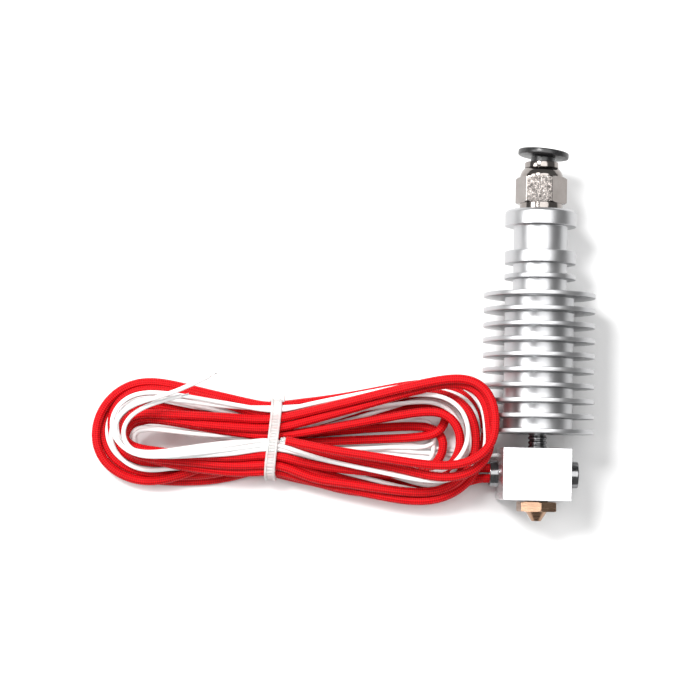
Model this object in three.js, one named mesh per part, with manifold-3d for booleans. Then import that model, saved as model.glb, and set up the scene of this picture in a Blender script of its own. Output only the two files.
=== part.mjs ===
// A groove-mount hotend for a remote filament drive, lying on its side with its leads tied in a hank.
// Millimetres. +Z is up from the table, +Y runs along the hotend from the nozzle to the tube coupler,
// and +X is the side away from the hank. The origin is on the table, under the middle of the hotend.

import * as THREE from 'three';
import { mergeVertices } from 'three/addons/utils/BufferGeometryUtils.js';
import Module from 'manifold-3d';

const wasm = await Module();
wasm.setup();

// ---------- Driving dimensions ----------

const FIT = 0.15; // radial gap between a piece and the bore that holds it
const GAP = 0.3; // gap between pieces that meet face to face
const ROUND = 32; // sides of a round piece

const FIN_R = 12.5;
const FIN_THICK = 1.0;
const FIN_PITCH = 3.36;
const FIN_COUNT = 10;
const CORE_R = 7.7; // between the large fins
const SINK_BOTTOM = -22.25; // lower face of the last large fin
const AXIS_Z = FIN_R; // the hotend lies on its large fins

const NECK_R = 6.0;
const COLLAR_R = 8.0;
const SMALL_FIN = [12.1, 13.2];
const COLLAR = [15.6, 18.35];
const SINK_TOP = 27.6;
const FLANGE_THICK = 3.6;
const FLANGE_CHAMFER = 0.5;

const TUBE_BORE_R = 2.15; // clears a 4 mm filament tube
const THREAD_HOLE_R = 4.9;
const THREAD_HOLE_END = 19.4;
const COLD_SOCKET_R = 3.65;
const COLD_SOCKET_END = -12.0;

const SPIGOT_R = 4.7;
const COUPLER_R = 4.8;
const HEX_FLATS = 10.0;
const HEX_TURN = 11.0; // degrees
const HEX = [29.15, 35.05];
const SHOULDER_TOP = 37.1;
const SHOULDER_R = 3.95;
const SLEEVE_R = 3.8;
const SLEEVE_BORE_R = 3.1;
const SLEEVE_TOP = 38.5;
const SOCKET_R = 3.7; // holds the seal, the claws and the sleeve
const SOCKET_END = 28.9;
const SEAL_R = 2.85; // middle of the rubber ring's section
const SEAL_SECTION_R = 0.7;
const CLAW = { outer: 3.5, inner: 2.25, top: 33.0, low: 31.0, sheet: 0.4, slot: 0.5 };
const SLEEVE_END = 33.4;

const RING_R = 5.7;
const RING_THICK = 1.3;
const RING_TUBE_R = 2.7;
const RING_TILT = 5.5; // degrees, as a loose ring settles in its bore
const RING_PIVOT = 36.5;
const RING_UNDERSIDE = 3.3; // from the pivot, along the tilted ring
const RING_TUBE_END = -1.9;

const BREAK_TOP = -12.3;
const BREAK_COLD_R = 3.5;
const BREAK_COLD_END = -20.9;
const BREAK_NECK_R = 1.6;
const BREAK_HOT_TOP = -22.0;
const BREAK_RIB_R = 2.1; // ribbed neck that shows between the fins and the block
const BREAK_RIB_ROOT_R = 1.8;
const BREAK_BOTTOM = -30.9;
const M6_R = 3.0;
const M6_ROOT_R = 2.5;
const M6_PITCH = 1.0;
const FILAMENT_R = 1.0;

const BLOCK = { left: -8.2, right: 6.9, top: -25.45, bottom: -37.05, low: 0.5, high: 20.5 };
const M6_HOLE_R = 3.15;

const CARTRIDGE_R = 3.0;
const CARTRIDGE_LENGTH = 20.0;
const CARTRIDGE_WALL = 0.35;
const CARTRIDGE_Y = (BLOCK.top + BLOCK.bottom) / 2;
const CARTRIDGE_Z = 4.9;
const SEAL = [-9.2, -8.0];

const THERMISTOR_Y = -27.1;
const THERMISTOR_Z = 2.6;
const THERMISTOR_HOLE_R = 1.2;
const THERMISTOR_DEPTH = 5.4;
const BEAD_R = 0.8;

const NOZZLE_TOP = -31.1;
const NOZZLE_HEX = [-39.5, -37.35];
const NOZZLE_FLATS = 8.0;
const NOZZLE_TURN = 22.0; // degrees
const NOZZLE_TIP = -41.6;
const NOZZLE_CONE_R = 2.4;
const NOZZLE_TIP_R = 1.1;
const ORIFICE_R = 0.2;

const HEATER_LEAD_R = 1.0;
const THERMISTOR_LEAD_R = 0.5;
const LEAD_SIDES = 8;
const HEATER_SPREAD = 1.15; // each heater lead from the cartridge's axis
const THERMISTOR_SPREAD = 0.65;

const HANK_LOW = 0.15;
const HANK_HIGH = 9.6;
const HANK_RIGHT_HIGH = 20.5; // the right loop leans on the fins
const HANK_RIGHT = -12.9;
const TIE_X = -58.9;
const TIE_WIDTH = 2.4;
const TIE_THICK = 1.2;
const TIE_CORE = { y: [-32.8, -16.4], z: [1.65, 9.2], round: 3.2 };

// ---------- Solids ----------

function solid(geometry) {
  geometry.deleteAttribute('normal');
  geometry.deleteAttribute('uv');
  const merged = mergeVertices(geometry, 1e-4);
  const place = merged.getAttribute('position');
  const [a, b, c] = [new THREE.Vector3(), new THREE.Vector3(), new THREE.Vector3()];
  const faces = [];
  let volume = 0;
  for (let i = 0; i < merged.index.count; i += 3) {
    const corner = [0, 1, 2].map((k) => merged.index.getX(i + k));
    if (new Set(corner).size < 3) continue;
    a.fromBufferAttribute(place, corner[0]);
    b.fromBufferAttribute(place, corner[1]);
    c.fromBufferAttribute(place, corner[2]);
    volume += a.dot(b.clone().cross(c));
    faces.push(corner);
  }
  const outward = volume < 0 ? faces.map(([p, q, r]) => [p, r, q]) : faces;
  merged.setIndex(outward.flat());
  return merged;
}

function toManifold(geometry) {
  const mesh = new wasm.Mesh({
    numProp: 3,
    vertProperties: new Float32Array(geometry.getAttribute('position').array),
    triVerts: new Uint32Array(geometry.index.array),
  });
  return new wasm.Manifold(mesh);
}

function toGeometry(manifold) {
  const mesh = manifold.getMesh();
  const geometry = new THREE.BufferGeometry();
  geometry.setAttribute('position', new THREE.BufferAttribute(mesh.vertProperties, 3));
  geometry.setIndex(new THREE.BufferAttribute(mesh.triVerts, 1));
  return geometry;
}

function cut(base, ...tools) {
  const left = tools.reduce((rest, tool) => rest.subtract(toManifold(tool)), toManifold(base));
  return toGeometry(left);
}

function join(...pieces) {
  const [first, ...others] = pieces.map(toManifold);
  return toGeometry(others.reduce((whole, piece) => whole.add(piece), first));
}

function common(first, second) {
  return toGeometry(toManifold(first).intersect(toManifold(second)));
}

// A turned piece about the Y axis. The profile is [radius, y] points, in a closed loop or from axis to axis.
function turned(profile, sides = ROUND) {
  const closed = profile[0][0] === 0 ? profile : [...profile, profile[0]];
  return solid(new THREE.LatheGeometry(closed.map(([r, y]) => new THREE.Vector2(r, y)), sides));
}

// A ring or tube about the Y axis, from y0 to y1.
function tube(outer, inner, y0, y1, sides = ROUND) {
  return turned([[outer, y0], [outer, y1], [inner, y1], [inner, y0]], sides);
}

function rod(radius, y0, y1, sides = ROUND) {
  return turned([[0, y0], [radius, y0], [radius, y1], [0, y1]], sides);
}

// A hexagonal bar about the Y axis whose corners are cut back by a cone at each end.
function hexBar(flats, turn, y0, y1, chamfer) {
  const corner = flats / Math.sqrt(3);
  const bar = rod(corner, y0, y1, 6);
  bar.rotateY(THREE.MathUtils.degToRad(30 - turn));
  const end = corner - chamfer;
  return common(bar, turned([[0, y0], [end, y0], [corner, y0 + chamfer / 2],
    [corner, y1 - chamfer / 2], [end, y1], [0, y1]], 48));
}

function alongX(geometry) {
  return geometry.rotateZ(-Math.PI / 2);
}

function block(x, y, z) {
  const size = [x, y, z].map(([low, high]) => high - low);
  const middle = [x, y, z].map(([low, high]) => (high + low) / 2);
  return solid(new THREE.BoxGeometry(...size).translate(...middle));
}

// A round lead along hand-chosen points.
function lead(points, radius) {
  const path = new THREE.CatmullRomCurve3(points.map((p) => new THREE.Vector3(...p)));
  const section = new THREE.Shape();
  section.absarc(0, 0, radius, 0, 2 * Math.PI);
  const steps = Math.max(2, Math.round(path.getLength() / (5 * radius)));
  return solid(new THREE.ExtrudeGeometry(section,
    { steps, extrudePath: path, curveSegments: LEAD_SIDES / 2 }));
}

// ---------- Heat sink ----------

function heatSink() {
  const flangeLow = SINK_TOP - FLANGE_THICK;
  const outside = [];
  for (let fin = 0; fin < FIN_COUNT; fin += 1) {
    const low = SINK_BOTTOM + fin * FIN_PITCH;
    if (fin > 0) outside.push([CORE_R, low]);
    outside.push([FIN_R, low], [FIN_R, low + FIN_THICK]);
    outside.push([fin < FIN_COUNT - 1 ? CORE_R : NECK_R, low + FIN_THICK]);
  }
  for (const [low, high] of [SMALL_FIN, COLLAR]) {
    outside.push([NECK_R, low], [COLLAR_R, low], [COLLAR_R, high], [NECK_R, high]);
  }
  outside.push([NECK_R, flangeLow], [COLLAR_R, flangeLow], [COLLAR_R, SINK_TOP - FLANGE_CHAMFER]);
  outside.push([COLLAR_R - FLANGE_CHAMFER, SINK_TOP]);
  const inside = [[THREAD_HOLE_R, SINK_TOP], [THREAD_HOLE_R, THREAD_HOLE_END],
    [TUBE_BORE_R, THREAD_HOLE_END], [TUBE_BORE_R, COLD_SOCKET_END],
    [COLD_SOCKET_R, COLD_SOCKET_END], [COLD_SOCKET_R, SINK_BOTTOM]];
  return turned([...outside, ...inside]);
}

// ---------- Tube coupler ----------

function couplerBody() {
  const low = THREAD_HOLE_END + GAP;
  const shell = turned([[0, low], [SPIGOT_R, low], [SPIGOT_R, SINK_TOP - GAP],
    [SPIGOT_R, SINK_TOP + GAP], [COUPLER_R, SINK_TOP + GAP], [COUPLER_R, HEX[1] + 0.6],
    [COUPLER_R - 0.35, HEX[1] + 1.4], [SHOULDER_R, SHOULDER_TOP], [0, SHOULDER_TOP]]);
  const whole = join(shell, hexBar(HEX_FLATS, HEX_TURN, ...HEX, 0.5));
  return cut(whole, rod(TUBE_BORE_R, low - 1, SOCKET_END + 0.1), rod(SOCKET_R, SOCKET_END, SHOULDER_TOP + 1));
}

function couplerSeal() {
  const section = new THREE.Shape();
  section.absarc(SEAL_R, SOCKET_END + SEAL_SECTION_R + FIT, SEAL_SECTION_R, 0, 2 * Math.PI);
  const loop = section.getPoints(5).slice(0, -1).map((p) => [p.x, p.y]);
  return turned(loop);
}

// A thin steel ring whose slotted teeth lean down and in, towards the filament tube.
function colletClaws() {
  const { outer, inner, top, low, sheet, slot } = CLAW;
  const ring = turned([[outer, top], [outer, top - sheet], [inner + sheet / 2, low], [inner, low],
    [inner, low + sheet], [outer - sheet, top]]);
  const slots = [];
  for (let pair = 0; pair < 4; pair += 1) {
    const gap = block([-outer, outer], [low - 1, (low + top) / 2], [-slot / 2, slot / 2]);
    slots.push(gap.rotateY((pair * Math.PI) / 4));
  }
  return cut(ring, ...slots);
}

function couplerSleeve() {
  const pressed = SOCKET_R - FIT;
  const lip = SHOULDER_TOP + 0.1;
  return turned([[pressed, SLEEVE_END], [pressed, lip], [SLEEVE_R, lip], [SLEEVE_R, SLEEVE_TOP - 0.3],
    [SLEEVE_R - 0.3, SLEEVE_TOP], [SLEEVE_BORE_R, SLEEVE_TOP], [SLEEVE_BORE_R, SLEEVE_END]]);
}

// The ring is drawn square to its own axis, about its pivot, and tilted by its mesh's rotation.
function releaseRing() {
  const top = RING_UNDERSIDE + RING_THICK;
  const bevel = 0.25;
  return turned([[RING_TUBE_R, RING_TUBE_END], [RING_TUBE_R, RING_UNDERSIDE],
    [RING_R - bevel, RING_UNDERSIDE], [RING_R, RING_UNDERSIDE + bevel], [RING_R, top - bevel],
    [RING_R - bevel, top], [TUBE_BORE_R + 0.35, top], [TUBE_BORE_R, top - 0.35],
    [TUBE_BORE_R, RING_TUBE_END]]);
}

// ---------- Hot end ----------

function heatBreak() {
  const ribs = BLOCK.top - GAP;
  const outside = [[FILAMENT_R, BREAK_BOTTOM], [M6_R, BREAK_BOTTOM], [M6_R, ribs], [BREAK_RIB_ROOT_R, ribs]];
  for (let y = ribs; y < BREAK_HOT_TOP - M6_PITCH / 2; y += M6_PITCH) {
    outside.push([BREAK_RIB_R, y + M6_PITCH / 2]);
    if (y + M6_PITCH < BREAK_HOT_TOP) outside.push([BREAK_RIB_ROOT_R, y + M6_PITCH]);
  }
  outside.push([BREAK_RIB_R, BREAK_HOT_TOP], [BREAK_NECK_R, BREAK_HOT_TOP], [BREAK_NECK_R, BREAK_COLD_END],
    [BREAK_COLD_R, BREAK_COLD_END], [BREAK_COLD_R, BREAK_TOP], [TUBE_BORE_R, BREAK_TOP],
    [TUBE_BORE_R, BREAK_TOP - 2], [FILAMENT_R, BREAK_TOP - 3]);
  return turned(outside);
}

function heaterBlock() {
  const { left, right } = BLOCK;
  const body = block([left, right], [BLOCK.bottom, BLOCK.top], [BLOCK.low, BLOCK.high]);
  const throat = rod(M6_HOLE_R, BLOCK.bottom - 1, BLOCK.top + 1).translate(0, 0, AXIS_Z);
  const cartridgeBore = alongX(rod(CARTRIDGE_R + FIT, left - 1, right + 1))
    .translate(0, CARTRIDGE_Y, CARTRIDGE_Z);
  const beadHole = alongX(rod(THERMISTOR_HOLE_R, left - 1, left + THERMISTOR_DEPTH, 16))
    .translate(0, THERMISTOR_Y, THERMISTOR_Z);
  const screwHole = rod(1.65, BLOCK.bottom - 1, CARTRIDGE_Y - 2, 16).translate(0, 0, CARTRIDGE_Z);
  return cut(body, throat, cartridgeBore, beadHole, screwHole);
}

function blockSetScrew() {
  const tip = CARTRIDGE_Y - CARTRIDGE_R - 0.1;
  const screw = rod(1.5, BLOCK.bottom + 0.1, tip, 16);
  const key = rod(0.86, BLOCK.bottom - 1, BLOCK.bottom + 1.5, 6);
  return cut(screw, key);
}

function nozzle() {
  const threaded = rod(M6_R, NOZZLE_HEX[1] - 0.1, NOZZLE_TOP);
  const hex = hexBar(NOZZLE_FLATS, NOZZLE_TURN, ...NOZZLE_HEX, 0.3);
  const cone = turned([[0, NOZZLE_TIP], [NOZZLE_TIP_R, NOZZLE_TIP],
    [NOZZLE_CONE_R, NOZZLE_HEX[0]], [NOZZLE_CONE_R, NOZZLE_HEX[0] + 0.2], [0, NOZZLE_HEX[0] + 0.2]]);
  const bore = turned([[0, NOZZLE_TIP - 1], [ORIFICE_R, NOZZLE_TIP - 1], [ORIFICE_R, NOZZLE_TIP + 0.4],
    [FILAMENT_R, NOZZLE_TIP + 1.2], [FILAMENT_R, NOZZLE_TOP + 1], [0, NOZZLE_TOP + 1]], 16);
  return cut(join(threaded, hex, cone), bore);
}

// ---------- Heater cartridge and thermistor ----------

function cartridgeSheath() {
  const half = CARTRIDGE_LENGTH / 2;
  const inner = CARTRIDGE_R - CARTRIDGE_WALL;
  return alongX(turned([[0, half], [CARTRIDGE_R - 0.3, half], [CARTRIDGE_R, half - 0.3],
    [CARTRIDGE_R, -half], [inner, -half], [inner, half - 0.8], [0, half - 0.8]]));
}

function cartridgeCore() {
  const half = CARTRIDGE_LENGTH / 2;
  return alongX(rod(CARTRIDGE_R - CARTRIDGE_WALL - FIT, SEAL[1] + GAP, half - 1.1));
}

function cartridgeSeal() {
  const plug = alongX(rod(CARTRIDGE_R - CARTRIDGE_WALL - FIT, ...SEAL));
  const holes = [-1, 1].map((side) => alongX(rod(HEATER_LEAD_R, SEAL[0] - 1, SEAL[1] + 1, 16))
    .translate(0, side * HEATER_SPREAD, 0));
  return cut(plug, ...holes);
}

function thermistorBead() {
  const bead = new THREE.SphereGeometry(BEAD_R, 16, 10);
  return solid(bead.scale(1.2, 1, 1));
}

// ---------- Leads ----------

const HEATER_EXIT_X = SEAL[0] - GAP;
const THERMISTOR_EXIT_X = BLOCK.left + 2.6;
const LEAD_STOP = HANK_RIGHT + GAP;
const HEATER_LEADS = [1, -1].map((side) => {
  const y = CARTRIDGE_Y + side * HEATER_SPREAD;
  return [[HEATER_EXIT_X, y, CARTRIDGE_Z], [-11, y, CARTRIDGE_Z], [LEAD_STOP, y, CARTRIDGE_Z]];
});
const THERMISTOR_LEADS = [1, -1].map((side) => {
  const z = THERMISTOR_Z + side * THERMISTOR_SPREAD;
  return [[THERMISTOR_EXIT_X, THERMISTOR_Y, z], [-9, THERMISTOR_Y, z], [LEAD_STOP, THERMISTOR_Y, z]];
});
const HEATER_TAIL = [[-54.7, -24.7, 10.9], [-50.5, -25.6, 10.9], [-46.5, -27.4, 10.9]];
const THERMISTOR_TAIL = [[-84.5, -16.8, 10.4], [-79.5, -14.1, 10.4], [-74.4, -11.4, 10.4]];

// The bare tinned end that a cut-back lead shows, on from its last point.
function wireEnd(tail, radius, length) {
  const start = new THREE.Vector3(...tail[0]);
  const away = start.clone().sub(new THREE.Vector3(...tail[1])).normalize();
  const near = start.clone().addScaledVector(away, GAP);
  const far = near.clone().addScaledVector(away, length);
  const middle = near.clone().lerp(far, 0.5);
  return lead([near.toArray(), middle.toArray(), far.toArray()], radius);
}

// The hank seen from above: two loops with a waist under the tie.
const HANK_OUTLINE = [[-101, -22.5], [-97, -13.6], [-84, -9.2], [-70, -12.2], [-58.9, -14.9],
  [-48, -14], [-36, -10.6], [-24, -9.2], [-15.6, -11.4], [HANK_RIGHT, -17], [HANK_RIGHT, -25],
  [HANK_RIGHT, -33], [-16, -38.2], [-26, -40.4], [-40, -38.2], [-50, -35.2], [-58.9, -33.9],
  [-70, -34.6], [-84, -35.9], [-96.5, -31.8]];

function tieSection(grow) {
  const [y0, y1] = [TIE_CORE.y[0] - grow, TIE_CORE.y[1] + grow];
  const [z0, z1] = [TIE_CORE.z[0] - grow, TIE_CORE.z[1] + grow];
  const r = TIE_CORE.round + grow;
  const shape = new THREE.Shape();
  shape.moveTo(y0 + r, z0).lineTo(y1 - r, z0).absarc(y1 - r, z0 + r, r, -Math.PI / 2, 0);
  shape.lineTo(y1, z1 - r).absarc(y1 - r, z1 - r, r, 0, Math.PI / 2);
  shape.lineTo(y0 + r, z1).absarc(y0 + r, z1 - r, r, Math.PI / 2, Math.PI);
  shape.lineTo(y0, z0 + r).absarc(y0 + r, z0 + r, r, Math.PI, 1.5 * Math.PI);
  return shape;
}

// A prism along X whose section is drawn in Y and Z, with X from -half to half about its middle.
function prismX(shape, half, middle) {
  const prism = new THREE.ExtrudeGeometry(shape, { depth: 2 * half, bevelEnabled: false, curveSegments: 5 });
  prism.translate(0, 0, -half).rotateX(Math.PI / 2).rotateZ(Math.PI / 2);
  return solid(prism.translate(middle, 0, 0));
}

function cableTie() {
  const outer = prismX(tieSection(TIE_THICK), TIE_WIDTH / 2, TIE_X);
  const strap = cut(outer, prismX(tieSection(0), TIE_WIDTH, TIE_X));
  const y = TIE_CORE.y[1] + TIE_THICK;
  const head = block([TIE_X - 2, TIE_X + 2], [y - 0.8, y + 2.2], [2.9, 7.1]);
  return join(strap, head);
}

function leadHank() {
  const loop = new THREE.CatmullRomCurve3(HANK_OUTLINE.map(([x, y]) => new THREE.Vector3(x, y, 0)), true);
  const points = loop.getPoints(48).slice(0, -1).map((p) => new THREE.Vector2(Math.min(p.x, HANK_RIGHT), p.y));
  const plan = solid(new THREE.ExtrudeGeometry(new THREE.Shape(points),
    { depth: HANK_RIGHT_HIGH + 1, bevelEnabled: false }));
  const side = new THREE.Shape();
  side.moveTo(-110, HANK_LOW).lineTo(0, HANK_LOW).lineTo(0, HANK_RIGHT_HIGH).lineTo(-20, HANK_RIGHT_HIGH);
  side.lineTo(-44, HANK_HIGH).lineTo(-110, HANK_HIGH);
  const slab = solid(new THREE.ExtrudeGeometry(side, { depth: 60, bevelEnabled: false }).rotateX(Math.PI / 2));
  const waist = block([TIE_X - TIE_WIDTH / 2 - 1.1, TIE_X + TIE_WIDTH / 2 + 1.1], [-60, 0], [-1, 30]);
  const core = prismX(tieSection(-GAP), TIE_WIDTH * 2, TIE_X);
  return cut(common(plan, slab), cut(waist, core));
}

// ---------- Assembly ----------

const finish = (color, roughness, metalness) => new THREE.MeshStandardMaterial({ color, roughness, metalness });
const aluminium = finish(0xd4d5d6, 0.42, 1);
const nickel = finish(0xb9b2aa, 0.2, 1);
const brass = finish(0xb98a4b, 0.3, 1);
const steel = finish(0x9b9da0, 0.22, 1);
const blackPlastic = finish(0x1c1c1e, 0.35, 0);
const rubber = finish(0x141414, 0.8, 0);
const ceramic = finish(0xe6e2d8, 0.7, 0);
const glass = finish(0xc9893b, 0.1, 0);
const redSleeve = finish(0xd81420, 0.7, 0);
const whiteSleeve = finish(0xf0f0ee, 0.45, 0);
const tin = finish(0xc2c2bf, 0.35, 1);
const nylon = finish(0xe8e6e0, 0.4, 0);

const hotend = new THREE.Group();

function place(name, geometry, material, x = 0, y = 0, z = 0) {
  const mesh = new THREE.Mesh(geometry, material);
  mesh.name = name;
  mesh.position.set(x, y, z);
  hotend.add(mesh);
  return mesh;
}

place('heat_sink', heatSink(), aluminium, 0, 0, AXIS_Z);
place('coupler_body', couplerBody(), nickel, 0, 0, AXIS_Z);
place('coupler_o_ring', couplerSeal(), rubber, 0, 0, AXIS_Z);
place('collet_claws', colletClaws(), steel, 0, 0, AXIS_Z);
place('coupler_sleeve', couplerSleeve(), nickel, 0, 0, AXIS_Z);
place('release_ring', releaseRing(), blackPlastic, 0, RING_PIVOT, AXIS_Z)
  .rotation.z = THREE.MathUtils.degToRad(-RING_TILT);

place('heat_break', heatBreak(), steel, 0, 0, AXIS_Z);
place('heater_block', heaterBlock(), aluminium);
place('block_set_screw', blockSetScrew(), steel, 0, 0, CARTRIDGE_Z);
place('nozzle', nozzle(), brass, 0, 0, AXIS_Z);

place('cartridge_sheath', cartridgeSheath(), steel, 0, CARTRIDGE_Y, CARTRIDGE_Z);
place('cartridge_core', cartridgeCore(), ceramic, 0, CARTRIDGE_Y, CARTRIDGE_Z);
place('cartridge_seal', cartridgeSeal(), ceramic, 0, CARTRIDGE_Y, CARTRIDGE_Z);
place('thermistor_bead', thermistorBead(), glass, THERMISTOR_EXIT_X + GAP + 1.2 * BEAD_R,
  THERMISTOR_Y, THERMISTOR_Z);

HEATER_LEADS.forEach((points, i) => place(`heater_lead_${i + 1}`, lead(points, HEATER_LEAD_R), redSleeve));
THERMISTOR_LEADS.forEach((points, i) => {
  place(`thermistor_lead_${i + 1}`, lead(points, THERMISTOR_LEAD_R), whiteSleeve);
});
place('heater_lead_tail', lead(HEATER_TAIL, HEATER_LEAD_R), redSleeve);
place('thermistor_lead_tail', lead(THERMISTOR_TAIL, THERMISTOR_LEAD_R), whiteSleeve);
place('heater_wire_end', wireEnd(HEATER_TAIL, 0.5, 1.2), tin);
place('thermistor_wire_end', wireEnd([...THERMISTOR_TAIL].reverse(), 0.22, 1.8), tin);
place('lead_hank', leadHank(), redSleeve);
place('cable_tie', cableTie(), nylon);

export default hotend;
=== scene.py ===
"""A groove-mount printer hotend on its side, with its leads tied in a hank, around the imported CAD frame."""

import math

import bmesh
import bpy
import numpy as np
from mathutils import Matrix, Vector


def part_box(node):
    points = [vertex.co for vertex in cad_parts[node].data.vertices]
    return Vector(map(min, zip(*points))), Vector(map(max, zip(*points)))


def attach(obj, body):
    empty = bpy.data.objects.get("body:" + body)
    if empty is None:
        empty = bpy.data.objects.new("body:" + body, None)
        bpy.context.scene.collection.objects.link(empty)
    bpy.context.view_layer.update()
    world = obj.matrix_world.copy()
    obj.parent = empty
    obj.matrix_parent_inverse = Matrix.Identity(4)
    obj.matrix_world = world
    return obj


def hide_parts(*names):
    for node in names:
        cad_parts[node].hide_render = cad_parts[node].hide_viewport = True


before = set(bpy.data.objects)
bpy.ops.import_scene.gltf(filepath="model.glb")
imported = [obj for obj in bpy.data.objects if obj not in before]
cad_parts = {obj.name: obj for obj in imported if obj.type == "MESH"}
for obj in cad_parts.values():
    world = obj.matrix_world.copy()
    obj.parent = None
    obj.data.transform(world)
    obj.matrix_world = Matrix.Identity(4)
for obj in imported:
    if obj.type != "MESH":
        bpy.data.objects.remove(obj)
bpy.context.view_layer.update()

MM = 0.001
HOTEND = "hotend"
COLLET = "release_collet"
SLEEVE_UV = "sleeve"  # metres along a lead, and turns round it

# ---------------------------------------------------------------- camera, in metres

CAMERA_PLACE = Vector((-0.0475, -0.0312, 0.4825))
CAMERA_TARGET = Vector((-0.04212, -0.00445, 0.0125))
CAMERA_ROLL = math.radians(1.2)
CAMERA_LENS = 108.6


def make_camera():
    data = bpy.data.cameras.new("camera")
    data.lens = CAMERA_LENS
    data.sensor_width = 36.0
    data.clip_start = 0.01
    camera = bpy.data.objects.new("camera", data)
    bpy.context.scene.collection.objects.link(camera)
    ahead = (CAMERA_TARGET - CAMERA_PLACE).normalized()
    up = Vector((-math.sin(CAMERA_ROLL), math.cos(CAMERA_ROLL), 0.0))
    right = ahead.cross(up).normalized()
    up = right.cross(ahead)
    turn = Matrix((right, up, -ahead)).transposed()
    camera.matrix_world = Matrix.Translation(CAMERA_PLACE) @ turn.to_4x4()
    bpy.context.scene.camera = camera


make_camera()

# ---------------------------------------------------------------- node material helpers


class Shader:
    """A material with a Principled shader and short calls that add nodes to it."""

    def __init__(self, name, **sockets):
        self.material = bpy.data.materials.new(name)
        self.material.use_nodes = True
        self.tree = self.material.node_tree
        self.bsdf = self.tree.nodes["Principled BSDF"]
        for socket, value in sockets.items():
            self.bsdf.inputs[socket.replace("_", " ").title().replace("Ior", "IOR")].default_value = value
        self.place = self.node("ShaderNodeTexCoord").outputs["Object"]

    def node(self, kind, inputs=None, **settings):
        made = self.tree.nodes.new(kind)
        for key, value in settings.items():
            setattr(made, key, value)
        for key, value in (inputs or {}).items():
            if isinstance(value, bpy.types.NodeSocket):
                self.tree.links.new(value, made.inputs[key])
            else:
                made.inputs[key].default_value = value
        return made

    def noise(self, scale, detail=4.0, roughness=0.55, vector=None):
        inputs = {"Vector": vector or self.place, "Scale": scale, "Detail": detail, "Roughness": roughness}
        return self.node("ShaderNodeTexNoise", inputs).outputs["Fac"]

    def stretched(self, scale):
        mapping = self.node("ShaderNodeMapping", {"Vector": self.place, "Scale": scale})
        return mapping.outputs["Vector"]

    def math(self, operation, a, b=0.0):
        return self.node("ShaderNodeMath", {0: a, 1: b}, operation=operation).outputs[0]

    def span(self, value, low, high, from_low=0.0, from_high=1.0):
        inputs = {"Value": value, "From Min": from_low, "From Max": from_high, "To Min": low, "To Max": high}
        return self.node("ShaderNodeMapRange", inputs).outputs["Result"]

    def color(self, factor, first, second):
        made = self.node("ShaderNodeMix", data_type="RGBA")
        self.tree.links.new(factor, made.inputs["Factor"])
        made.inputs["A"].default_value = first
        made.inputs["B"].default_value = second
        self.tree.links.new(made.outputs["Result"], self.bsdf.inputs["Base Color"])

    def roughness(self, value):
        self.tree.links.new(value, self.bsdf.inputs["Roughness"])

    def bump(self, height, strength, distance):
        inputs = {"Height": height, "Strength": strength, "Distance": distance}
        normal = self.node("ShaderNodeBump", inputs).outputs["Normal"]
        self.tree.links.new(normal, self.bsdf.inputs["Normal"])


def rgb(r, g, b):
    return (r, g, b, 1.0)


def blasted_aluminium():
    s = Shader("blasted_aluminium", metallic=1.0)
    fine = s.noise(5200.0, 3.0, 0.7)
    broad = s.noise(160.0, 4.0)
    s.color(broad, rgb(0.42, 0.425, 0.435), rgb(0.54, 0.54, 0.545))
    s.roughness(s.span(broad, 0.35, 0.43, 0.3, 0.7))
    s.bump(fine, 0.25, 0.00003)
    return s.material


def milled_aluminium():
    s = Shader("milled_aluminium", metallic=1.0)
    lines = s.noise(900.0, 3.0, 0.6, s.stretched((0.06, 2.2, 1.0)))
    broad = s.noise(120.0, 4.0)
    s.color(broad, rgb(0.74, 0.74, 0.75), rgb(0.86, 0.86, 0.865))
    s.roughness(s.span(lines, 0.24, 0.36, 0.3, 0.7))
    s.bump(lines, 0.18, 0.00003)
    return s.material


def nickel_plate():
    s = Shader("nickel_plate", metallic=1.0)
    fine = s.noise(1500.0, 4.0, 0.6)
    broad = s.noise(260.0, 5.0, 0.6)
    s.color(broad, rgb(0.19, 0.168, 0.155), rgb(0.33, 0.305, 0.29))
    s.roughness(s.span(fine, 0.08, 0.18, 0.3, 0.7))
    s.bump(broad, 0.22, 0.00012)
    return s.material


def polished_steel():
    s = Shader("polished_steel", metallic=1.0)
    fine = s.noise(900.0, 3.0, 0.6, s.stretched((3.0, 0.4, 0.4)))
    s.color(fine, rgb(0.15, 0.15, 0.155), rgb(0.28, 0.28, 0.285))
    s.roughness(s.span(fine, 0.10, 0.22, 0.3, 0.7))
    s.bump(fine, 0.08, 0.00003)
    return s.material


def turned_brass():
    s = Shader("turned_brass", metallic=1.0)
    rings = s.noise(700.0, 3.0, 0.6, s.stretched((0.3, 4.0, 0.3)))
    broad = s.noise(300.0, 5.0, 0.6)
    s.color(broad, rgb(0.26, 0.15, 0.10), rgb(0.46, 0.30, 0.20))
    s.roughness(s.span(rings, 0.16, 0.32, 0.3, 0.7))
    s.bump(rings, 0.12, 0.00004)
    return s.material


def moulded_black():
    s = Shader("moulded_black", roughness=0.3)
    fine = s.noise(2600.0, 3.0, 0.6)
    broad = s.noise(200.0, 4.0)
    s.color(broad, rgb(0.010, 0.010, 0.011), rgb(0.028, 0.027, 0.027))
    s.roughness(s.span(fine, 0.24, 0.36, 0.3, 0.7))
    s.bump(fine, 0.12, 0.00003)
    return s.material


def black_rubber():
    s = Shader("black_rubber", roughness=0.7)
    fine = s.noise(3000.0, 3.0, 0.6)
    s.color(fine, rgb(0.012, 0.012, 0.012), rgb(0.03, 0.03, 0.03))
    s.bump(fine, 0.2, 0.00003)
    return s.material


def fired_ceramic():
    s = Shader("fired_ceramic", roughness=0.7)
    fine = s.noise(1800.0, 4.0, 0.65)
    s.color(fine, rgb(0.72, 0.69, 0.61), rgb(0.86, 0.84, 0.78))
    s.bump(fine, 0.35, 0.00006)
    return s.material


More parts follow.
